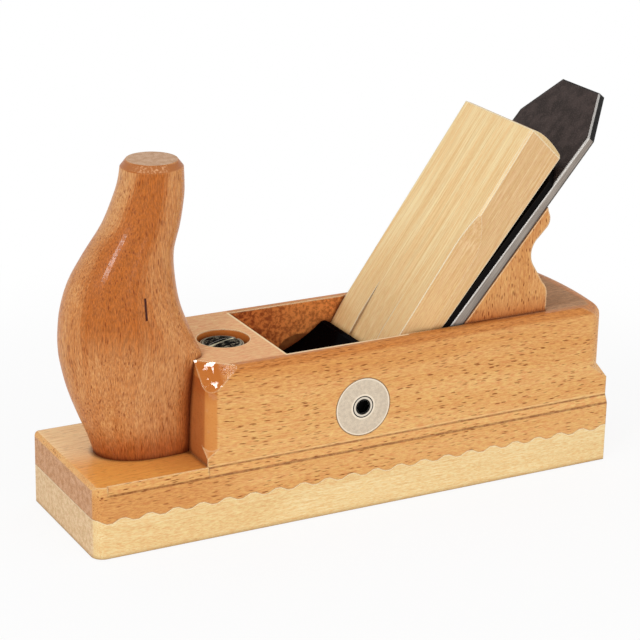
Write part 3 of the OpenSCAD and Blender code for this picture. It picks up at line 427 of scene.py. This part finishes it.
def makeHornMaterial(look):
    material, tree, here, normal = startMaterial("hornBeech")
    figure = figureOf(tree, here, look)
    spots = place(tree, mottle, {"Vector": here, "Blotch Size": 2.6, "Speck Size": 0.7})
    up = facing(tree, normal, (0, 0, 1))
    height = axes(tree, here)[2]
    colour = mixed(tree, figure["Bands"], look["light"], look["deep"])

    # the neck's side toward the toe is darker, partly varnish and partly painted shade; the foot is darker from
    # varnish run and painted shade; the strip against the shoulder is painted shade
    sideways = axes(tree, normal)[0]
    front = times(tree, fade(tree, sideways, -0.9, -0.65), fade(tree, sideways, 0.25, -0.05))
    neck = times(tree, fade(tree, height, look["neckFrom"], look["neckTo"]), front, 0.85)
    colour = mixed(tree, neck, colour, look["neckVarnishAndShade"])
    # painted reflection: high up, the neck's edge toward the toe is made lighter
    neckSheen = times(tree, fade(tree, height, 95, 110), fade(tree, sideways, -0.7, -0.9), 0.9)
    colour = mixed(tree, neckSheen, colour, look["neckSheen"])
    foot = fade(tree, height, look["footFrom"], look["footTo"])
    seamShade = within(tree, here, (-69, -500, 20), (-60, 500, 64), 5.0)
    colour = mixed(tree, times(tree, largest(tree, foot, seamShade), 0.75), colour, look["run"])
    colour = grained(tree, colour, figure, look)

    # broken varnish on the bevel round the bare top
    bevel = beside(tree, here, "Z", 135.8, 137.9, 0.3)
    flakes = times(tree, spots["Specks"], fade(tree, sideways, -0.8, -0.5), fade(tree, sideways, 0.2, 0.0))
    colour = mixed(tree, bevel, colour, mixed(tree, flakes, look["bevelTone"], look["bevelLight"]))
    disc = times(tree, up, beside(tree, here, "Z", 137.7, 140, 0.2))
    discTone = mixed(tree, spots["Blotches"], look["topDisc"], look["topDiscDeep"])
    colour = mixed(tree, disc, colour, mixed(tree, 0.2, discTone, figure["Pores"], "OVERLAY"))
    crack = within(tree, here, look["crackLow"], look["crackHigh"], 0.35)
    colour = mixed(tree, crack, colour, look["crack"])

    roughness = calc(tree, "ADD", 0.34, times(tree, disc, 0.3))
    roughness = calc(tree, "ADD", roughness, times(tree, figure["Pores"], 0.1))
    relief = calc(tree, "SUBTRACT", figure["Height"], times(tree, crack, 3.0))
    # the varnish is rubbed through in small spots, which breaks up its glint
    intact = fade(tree, noise(tree, scaled(tree, here, 0.9))["Fac"], 0.4, 0.56)
    intact = calc(tree, "ADD", 0.3, times(tree, intact, 0.7))
    varnish = times(tree, opposite(tree, disc), intact, look["coat"])
    return finished(material, tree, colour, roughness, relief, look, roundedEdges(tree, look), varnish)


restLook = {
    **varnished, "grainTilt": 90, "fleckLength": 3.6, "fleckWidth": 0.85, "wander": 5.0,
    "light": paint(222, 162, 98), "deep": paint(208, 142, 76), "fibre": paint(188, 116, 52),
    "fleck": paint(126, 58, 18), "foot": paint(182, 92, 34), "nose": paint(255, 224, 180),
    "rubbedAndLit": paint(252, 218, 172), "rubbedAndLitShow": 0.8, "cornerShade": paint(112, 48, 16), "arris": 0.0013,
}


def makeRestMaterial(look):
    material, tree, here, normal = startMaterial("restBeech")
    figure = figureOf(tree, here, look)
    colour = mixed(tree, figure["Bands"], look["light"], look["deep"])
    # painted highlight: faces turned toward the heel, round the nose, are made much lighter
    nose = times(tree, fade(tree, axes(tree, normal)[0], -0.08, 0.35), 0.85)
    colour = mixed(tree, nose, colour, look["nose"])
    # darker towards the foot, partly pooled varnish and partly painted shade where the rest meets the stock
    foot = fade(tree, axes(tree, here)[2], 74, 65)
    colour = mixed(tree, times(tree, foot, 0.7), colour, look["foot"])
    colour = grained(tree, colour, figure, look)
    roughness = calc(tree, "ADD", 0.38, times(tree, figure["Pores"], 0.1))
    return finished(material, tree, colour, roughness, figure["Height"], look, roundedEdges(tree, look))


soleLook = {
    **varnished, "grainTilt": 0, "fleckLength": 2.4, "fleckWidth": 0.7, "fleckSize": 0.16, "wander": 2.0,
    "fibreWidth": 0.35, "bandWidth": 3.5, "fibreShow": 0.55, "fleckShow": 0.6, "poreShow": 0.3,
    "light": paint(246, 220, 166), "deep": paint(238, 204, 146), "fibre": paint(224, 184, 122),
    "fleck": paint(190, 146, 88), "endGrain": paint(232, 200, 158), "endGrainDeep": paint(214, 178, 132),
    "bump": 0.15, "bumpDepth": 0.00015, "coat": 0.15, "coatRoughness": 0.25,
    "rubbedAndLit": paint(255, 240, 202), "cornerShade": paint(150, 104, 52), "teethFrom": 5, "teethTo": 8,
}


def makeSoleMaterial(look):
    material, tree, here, normal = startMaterial("soleHornbeam")
    figure = figureOf(tree, here, look)
    spots = place(tree, mottle, {"Vector": here, "Blotch Size": 1.6, "Speck Size": 0.5})
    colour = grained(tree, mixed(tree, figure["Bands"], look["light"], look["deep"]), figure, look)
    ends = largest(tree, facing(tree, normal, (-1, 0, 0), 0.9, 0.98), facing(tree, normal, (1, 0, 0), 0.9, 0.98))
    endTone = mixed(tree, spots["Blotches"], look["endGrain"], look["endGrainDeep"])
    colour = mixed(tree, ends, colour, mixed(tree, 0.25, endTone, figure["Pores"], "OVERLAY"))
    roughness = calc(tree, "ADD", 0.42, times(tree, ends, 0.25))
    # the arrises on the teeth of the joint carry a painted highlight
    rubbedAndLitShare = largest(tree, look["rubbedAndLitShow"], fade(tree, axes(tree, here)[2], look["teethFrom"], look["teethTo"]))
    edges = roundedEdges(tree, look)
    return finished(material, tree, colour, roughness, figure["Height"], look, edges, rubbedAndLitShare=rubbedAndLitShare)


wedgeLook = {
    **varnished, "grainTilt": 54.8, "fleckLength": 5.0, "fleckWidth": 0.6, "fleckSize": 0.14, "wander": 3.0,
    "fibreWidth": 0.45, "fibreStretch": 160.0, "bandWidth": 2.6, "fibreShow": 0.55, "fleckShow": 0.4,
    "poreShow": 0.12,
    "light": paint(255, 234, 182), "deep": paint(248, 212, 154), "fibre": paint(214, 168, 104),
    "fleck": paint(176, 130, 76), "side": paint(226, 188, 142), "sideFibre": paint(186, 138, 88),
    "endGrain": paint(214, 178, 130), "low": paint(226, 182, 124), "lowFrom": 104, "lowTo": 66,
    "shine": 0.2, "coat": 0.05, "coatRoughness": 0.3, "arris": 0.0008,
    "rubbedAndLit": paint(255, 250, 224), "rubbedAndLitShow": 0.9, "cornerShade": paint(132, 86, 42),
}


def makeWedgeMaterial(look):
    material, tree, here, normal = startMaterial("wedgeHornbeam")
    figure = figureOf(tree, here, look)
    colour = mixed(tree, figure["Bands"], look["light"], look["deep"])
    # painted shade: the sides are darker than the front, and their fibres darker still
    side = largest(tree, facing(tree, normal, (0, -1, 0), 0.6, 0.9), facing(tree, normal, (0, 1, 0), 0.6, 0.9))
    colour = mixed(tree, times(tree, side, 0.8), colour, look["side"])
    colour = mixed(tree, times(tree, side, figure["Fibres"], 0.5), colour, look["sideFibre"])
    # painted shade: darker towards the bottom, where the wedge goes down into the throat
    low = times(tree, fade(tree, axes(tree, here)[2], look["lowFrom"], look["lowTo"]), 0.5)
    colour = mixed(tree, low, colour, look["low"])
    colour = grained(tree, colour, figure, look)
    top = facing(tree, normal, (0.656, 0, 0.755), 0.8, 0.95)
    colour = mixed(tree, top, colour, look["endGrain"])
    roughness = calc(tree, "ADD", 0.48, times(tree, figure["Pores"], 0.1))
    return finished(material, tree, colour, roughness, figure["Height"], look, roundedEdges(tree, look))


dowelLook = {
    **varnished, "grainTilt": 90, "wander": 2.0, "bandWidth": 4.0,
    "light": paint(226, 188, 140), "deep": paint(206, 162, 112), "fibre": paint(190, 140, 90),
    "fleck": paint(140, 90, 50), "coat": 0.0, "rubbedAndLit": paint(236, 204, 160), "cornerShade": paint(120, 70, 36),
}


def makeDowelMaterial(look):
    material, tree, here, normal = startMaterial("dowelBeech")
    figure = figureOf(tree, here, look)
    colour = grained(tree, mixed(tree, figure["Bands"], look["light"], look["deep"]), figure, look)
    roughness = calc(tree, "ADD", 0.6, times(tree, figure["Pores"], 0.1))
    return finished(material, tree, colour, roughness, figure["Height"], look, roundedEdges(tree, look))


ironLook = {
    "black": paint(58, 44, 40), "worn": paint(42, 32, 29), "speck": paint(86, 72, 66),
    "ground": paint(164, 154, 144), "groundDark": paint(134, 124, 115),
    "outline": paint(6, 5, 5), "lit": paint(250, 246, 240), "blackSide": paint(14, 11, 10),
    "bump": 0.2, "bumpDepth": 0.0001, "metallic": 0.3, "shine": 0.2, "coat": 0.0, "coatRoughness": 0.3,
    "arris": 0.0016, "reach": 0.002, "rubbedAndLit": paint(200, 190, 180), "rubbedAndLitShow": 0.0,
    "cornerShade": paint(8, 6, 5), "cornerShadeShow": 0.8, "bedTilt": 50, "groundTo": 139, "gloss": 0.42,
}

capLook = {
    **ironLook, "black": paint(14, 10, 8), "worn": paint(8, 6, 5), "speck": paint(34, 28, 24),
    "ground": paint(10, 7, 6), "groundDark": paint(6, 4, 4), "lit": paint(46, 38, 34),
    "arris": 0.0003, "gloss": 0.5, "shine": 0.06, "metallic": 0.0,
}


def makeIronMaterial(name, look):
    material, tree, here, normal = startMaterial(name)
    spots = place(tree, mottle, {"Vector": here, "Blotch Size": 5.0, "Speck Size": 0.5})
    edges = roundedEdges(tree, look)
    colour = mixed(tree, spots["Blotches"], look["black"], look["worn"])
    colour = mixed(tree, times(tree, spots["Specks"], 0.5), colour, look["speck"])

    # the sides are ground bright up to the head's shoulders, where they stay black
    along = put(tree, "Mapping", {"Vector": here, "Rotation": (0.0, math.radians(look["bedTilt"]), 0.0)}).outputs[0]
    streak = noise(tree, calcVector(tree, "MULTIPLY", along, (0.06, 1.5, 1.5)), 3.0)["Fac"]
    left = facing(tree, normal, (0, -1, 0), 0.95, 0.99)
    right = facing(tree, normal, (0, 1, 0), 0.95, 0.99)
    side = largest(tree, left, right)
    groundTone = mixed(tree, fade(tree, streak, 0.35, 0.65), look["ground"], look["groundDark"])
    colour = mixed(tree, side, colour, groundTone)
    slanting = facing(tree, normal, (0, -1, 0), 0.3, 0.5)
    colour = mixed(tree, times(tree, slanting, opposite(tree, side)), colour, look["blackSide"])

    # the arris between the front face and the left side carries a painted highlight, and painted shade makes it black
    # elsewhere
    litSide = facing(tree, edges["Rounded"], (-0.54, -0.7, 0.45), 0.72, 0.86)
    arris = mixed(tree, litSide, look["outline"], look["lit"])
    colour = mixed(tree, times(tree, edges["Arrises"], 0.85), colour, arris)
    roughness = calc(tree, "ADD", look["gloss"], times(tree, spots["Blotches"], 0.15))
    return finished(material, tree, colour, roughness, spots["Specks"], look, edges)


barLook = {
    "lacquer": paint(2, 1, 2), "dull": paint(10, 8, 8), "rubbedAndLit": paint(58, 54, 56), "rubbedAndLitShow": 0.3,
    "cornerShade": paint(1, 1, 1), "cornerShadeShow": 0.8, "arris": 0.0004, "reach": 0.002,
    "bump": 0.08, "bumpDepth": 0.0001, "metallic": 0.0, "shine": 0.0, "coat": 0.03, "coatRoughness": 0.12,
}


def makeBarMaterial(look):
    material, tree, here, normal = startMaterial("barLacquer")
    spots = place(tree, mottle, {"Vector": here, "Blotch Size": 3.0, "Speck Size": 0.6})
    colour = mixed(tree, times(tree, spots["Specks"], 0.35), look["lacquer"], look["dull"])
    roughness = calc(tree, "ADD", 0.2, times(tree, spots["Blotches"], 0.12))
    return finished(material, tree, colour, roughness, spots["Specks"], look, roundedEdges(tree, look))


bushLook = {
    "face": paint(220, 204, 181), "grey": paint(206, 190, 168), "speck": paint(172, 156, 136),
    "rim": paint(240, 226, 204), "axis": (-0.643, 0.0, 40.71),
    "rimFrom": 10.6, "rimTo": 10.95, "boreFrom": 5.2, "boreTo": 4.9,
    "bump": 0.25, "bumpDepth": 0.0001, "metallic": 0.0, "shine": 0.4, "coat": 0.0, "coatRoughness": 0.3,
    "arris": 0.0002, "reach": 0.001, "rubbedAndLit": paint(240, 232, 220), "rubbedAndLitShow": 0.3,
    "cornerShade": paint(120, 110, 100), "cornerShadeShow": 0.6,
}


def makeBushMaterial(look):
    material, tree, here, normal = startMaterial("bushMetal")
    spots = place(tree, mottle, {"Vector": here, "Blotch Size": 1.4, "Speck Size": 0.45})
    colour = mixed(tree, spots["Blotches"], look["face"], look["grey"])
    colour = mixed(tree, times(tree, spots["Specks"], 0.35), colour, look["speck"])
    offset = calcVector(tree, "SUBTRACT", here, look["axis"])
    radius = lengthOf(tree, calcVector(tree, "MULTIPLY", offset, (1.0, 0.0, 1.0)))
    # painted highlight: the outer rim and the ring round the bore are made lighter
    rim = largest(tree, fade(tree, radius, look["rimFrom"], look["rimTo"]),
                  fade(tree, radius, look["boreFrom"], look["boreTo"]))
    colour = mixed(tree, rim, colour, look["rim"])
    relief = calc(tree, "ADD", spots["Specks"], rim)
    roughness = calc(tree, "ADD", 0.42, times(tree, spots["Blotches"], 0.12))
    return finished(material, tree, colour, roughness, relief, look, roundedEdges(tree, look))


screwLook = {
    "steel": paint(150, 146, 138), "dull": paint(84, 80, 76),
    "bump": 0.1, "bumpDepth": 0.0001, "metallic": 0.9, "shine": 0.5, "coat": 0.0, "coatRoughness": 0.3,
    "arris": 0.0003, "reach": 0.001, "rubbedAndLit": paint(220, 218, 212), "rubbedAndLitShow": 0.4,
    "cornerShade": paint(20, 18, 16), "cornerShadeShow": 0.8,
}


def makeScrewMaterial(look):
    material, tree, here, normal = startMaterial("screwSteel")
    spots = place(tree, mottle, {"Vector": here, "Blotch Size": 2.0, "Speck Size": 0.5})
    colour = mixed(tree, spots["Blotches"], look["steel"], look["dull"])
    roughness = calc(tree, "ADD", 0.25, times(tree, spots["Blotches"], 0.15))
    return finished(material, tree, colour, roughness, spots["Specks"], look, roundedEdges(tree, look))


headLook = {
    **screwLook, "darkReflection": paint(9, 8, 7), "streak": paint(196, 188, 164), "slot": paint(255, 250, 224),
    "rim": paint(210, 200, 172), "axis": (-45.93, 0.0, 0.0), "rimFrom": 7.6, "rimTo": 8.0,
    "slotFrom": 64.1, "slotTo": 63.6, "metallic": 0.0, "shine": 0.0, "coat": 0.04, "rubbedAndLitShow": 0.5,
}


def makeHeadMaterial(look):
    # the clamping screw: a dark dome streaked with painted reflection, with a painted highlight on the rim and in the
    # slot
    material, tree, here, normal = startMaterial("headPaintedReflection")
    spots = place(tree, mottle, {"Vector": here, "Blotch Size": 1.4, "Speck Size": 0.6})
    offset = calcVector(tree, "SUBTRACT", here, look["axis"])
    radius = lengthOf(tree, calcVector(tree, "MULTIPLY", offset, (1.0, 1.0, 0.0)))
    # painted reflection: light streaks over the dark steel
    reflectionNoise = noise(tree, calcVector(tree, "MULTIPLY", here, (0.5, 2.4, 1.0)), 2.0)["Fac"]
    colour = mixed(tree, times(tree, fade(tree, reflectionNoise, 0.58, 0.66), 0.8), look["darkReflection"], look["streak"])
    # painted highlight on the rim
    rim = fade(tree, radius, look["rimFrom"], look["rimTo"])
    colour = mixed(tree, times(tree, rim, 0.7), colour, look["rim"])
    # painted highlight in the slot
    slot = fade(tree, axes(tree, here)[2], look["slotFrom"], look["slotTo"])
    slot = times(tree, slot, fade(tree, radius, 7.6, 7.2))
    colour = mixed(tree, slot, colour, look["slot"])
    roughness = calc(tree, "ADD", 0.22, times(tree, spots["Blotches"], 0.2))
    return finished(material, tree, colour, roughness, spots["Specks"], look, roundedEdges(tree, look))


socketLook = {
    **screwLook, "ring": paint(222, 212, 196), "dark": paint(4, 3, 3), "axis": (-0.643, 0.0, 40.71),
    "gapFrom": 3.85, "gapTo": 4.0, "holeFrom": 3.25, "holeTo": 3.05,
    "metallic": 0.0, "shine": 0.0, "coat": 0.05, "arris": 0.0002, "rubbedAndLitShow": 0.2, "cornerShade": paint(8, 7, 7),
}


def makeSocketMaterial(look):
    # a bright ring, with a black joint round it and painted shade black in the socket
    material, tree, here, normal = startMaterial("socketSteel")
    spots = place(tree, mottle, {"Vector": here, "Blotch Size": 1.2, "Speck Size": 0.4})
    offset = calcVector(tree, "SUBTRACT", here, look["axis"])
    radius = lengthOf(tree, calcVector(tree, "MULTIPLY", offset, (1.0, 0.0, 1.0)))
    black = largest(tree, fade(tree, radius, look["gapFrom"], look["gapTo"]),
                    fade(tree, radius, look["holeFrom"], look["holeTo"]))
    colour = mixed(tree, black, look["ring"], look["dark"])
    roughness = calc(tree, "ADD", 0.3, times(tree, spots["Blotches"], 0.15))
    return finished(material, tree, colour, roughness, spots["Specks"], look, roundedEdges(tree, look))


def dress(material, *names):
    for name in names:
        for slot in nodes[name].material_slots:
            slot.material = material


dress(makeStockMaterial(stockLook), "stock")
dress(makeHornMaterial(hornLook), "horn")
dress(makeRestMaterial(restLook), "hand_rest")
dress(makeSoleMaterial(soleLook), "sole", "mouth_shoe", "strike_button")
dress(makeWedgeMaterial(wedgeLook), "wedge")
dress(makeDowelMaterial(dowelLook), "horn_tongue", "horn_dowel", "rest_dowels")
dress(makeIronMaterial("ironBlack", ironLook), "iron")
dress(makeIronMaterial("capBlack", capLook), "cap_iron")
dress(makeBarMaterial(barLook), "abutment_bar")
dress(makeBushMaterial(bushLook), "bush_left", "bush_right")
dress(makeSocketMaterial(socketLook), "bar_screw_left", "bar_screw_right")
dress(makeHeadMaterial(headLook), "mouth_screw")
dress(makeScrewMaterial(screwLook), "mouth_washer", "mouth_nut", "cap_boss", "cap_screw")
print("materials assigned")


# Camera, fitted to the photograph

photoView = {
    "azimuth": -28.335, "elevation": 19.675, "roll": 1.25,    # degrees, azimuth 0 looks along +Y
    "target": (-0.004537, 0.0, 0.066641), "distance": 0.867949,
    "focalPixels": 2279.165, "framePixels": 640, "sensor": 36.0,
}


def placeCamera(view):
    turn, rise, roll = (math.radians(view[key]) for key in ("azimuth", "elevation", "roll"))
    back = Vector((math.sin(turn) * math.cos(rise), -math.cos(turn) * math.cos(rise), math.sin(rise)))
    right = (-back).cross(Vector((0, 0, 1))).normalized()
    upward = right.cross(-back)
    across = math.cos(roll) * right + math.sin(roll) * upward
    upright = math.cos(roll) * upward - math.sin(roll) * right
    data = bpy.data.cameras.new("photoCamera")
    data.sensor_width = view["sensor"]
    data.lens = view["focalPixels"] / view["framePixels"] * view["sensor"]
    camera = bpy.data.objects.new("photoCamera", data)
    bpy.context.scene.collection.objects.link(camera)
    spot = Vector(view["target"]) + back * view["distance"]
    camera.matrix_world = Matrix.Translation(spot) @ Matrix((across, upright, back)).transposed().to_4x4()
    bpy.context.scene.camera = camera
    print("camera at", [round(c, 3) for c in spot])


placeCamera(photoView)


# Floor, backdrop and lamps

studio = {
    "ambient": 0.72, "floorRadius": 4.0, "floorDrop": 0.0003, "floorGlow": 0.86, "floorGrey": 0.92,
    "shadowFrom": 0.3, "shadowTo": 0.16,
    "lamps": [
        {"name": "frontLamp", "toward": (0.25, -0.9, 0.35), "distance": 1.6, "size": 0.9, "level": 0.15},
        {"name": "toeLamp", "toward": (-0.70, -0.52, 0.49), "distance": 1.4, "size": 0.2, "level": 0.2},
        {"name": "glintLamp", "toward": (-0.69, -0.23, 0.685), "distance": 1.4, "size": 0.1, "level": 0.045},
    ],
}


def seenDirectly(tree):
    ray = put(tree, "LightPath").outputs
    return largest(tree, ray["Is Camera Ray"], ray["Is Glossy Ray"], ray["Is Transmission Ray"])


def makeFloor(spec):
    steps = 96
    reach = spec["floorRadius"]
    turns = [2 * math.pi * i / steps for i in range(steps)]
    rim = [(reach * math.cos(turn), reach * math.sin(turn), -spec["floorDrop"]) for turn in turns]
    mesh = bpy.data.meshes.new("floor")
    mesh.from_pydata(rim, [], [list(range(steps))])
    floor = bpy.data.objects.new("floor", mesh)
    bpy.context.scene.collection.objects.link(floor)
    material = bpy.data.materials.new("floorWhite")
    material.use_nodes = True
    tree = material.node_tree
    tree.nodes.clear()
    grey = spec["floorGrey"]
    matte = put(tree, "BsdfDiffuse", {"Color": (grey, grey, grey, 1.0)})
    glow = put(tree, "Emission", {"Color": (1.0, 1.0, 1.0, 1.0), "Strength": 1.0})
    # the shadow shows near the object and gives way to white further out
    flat = calcVector(tree, "MULTIPLY", put(tree, "TexCoord").outputs["Object"], (1.0, 1.0, 0.0))
    near = fade(tree, lengthOf(tree, flat), spec["shadowFrom"], spec["shadowTo"])
    share = opposite(tree, times(tree, near, 1.0 - spec["floorGlow"]))
    share = times(tree, share, seenDirectly(tree))
    both = put(tree, "MixShader", {0: share, 1: matte.outputs[0], 2: glow.outputs[0]})
    out = put(tree, "OutputMaterial")
    tree.links.new(both.outputs[0], out.inputs["Surface"])
    mesh.materials.append(material)


def makeWorld(spec):
    world = bpy.data.worlds.new("studioWorld")
    bpy.context.scene.world = world
    world.use_nodes = True
    tree = world.node_tree
    tree.nodes.clear()
    around = put(tree, "Background", {"Color": (1.0, 1.0, 1.0, 1.0), "Strength": spec["ambient"]})
    white = put(tree, "Background", {"Color": (1.0, 1.0, 1.0, 1.0), "Strength": 1.0})
    both = put(tree, "MixShader", {0: seenDirectly(tree), 1: around.outputs[0], 2: white.outputs[0]})
    out = put(tree, "OutputWorld")
    tree.links.new(both.outputs[0], out.inputs["Surface"])


def makeLamps(spec):
    middle = Vector((0, 0, 0.06))
    for lamp in spec["lamps"]:
        data = bpy.data.lights.new(lamp["name"], "AREA")
        data.size = lamp["size"]
        # power that lights a facing matte surface to this level
        data.energy = lamp["level"] * math.pi ** 2 * lamp["distance"] ** 2
        light = bpy.data.objects.new(lamp["name"], data)
        bpy.context.scene.collection.objects.link(light)
        way = Vector(lamp["toward"]).normalized()
        light.location = middle + way * lamp["distance"]
        light.rotation_euler = way.to_track_quat("Z", "Y").to_euler()


makeFloor(studio)
makeWorld(studio)
makeLamps(studio)
bpy.context.scene.view_settings.view_transform = "Standard"
print("studio lit")
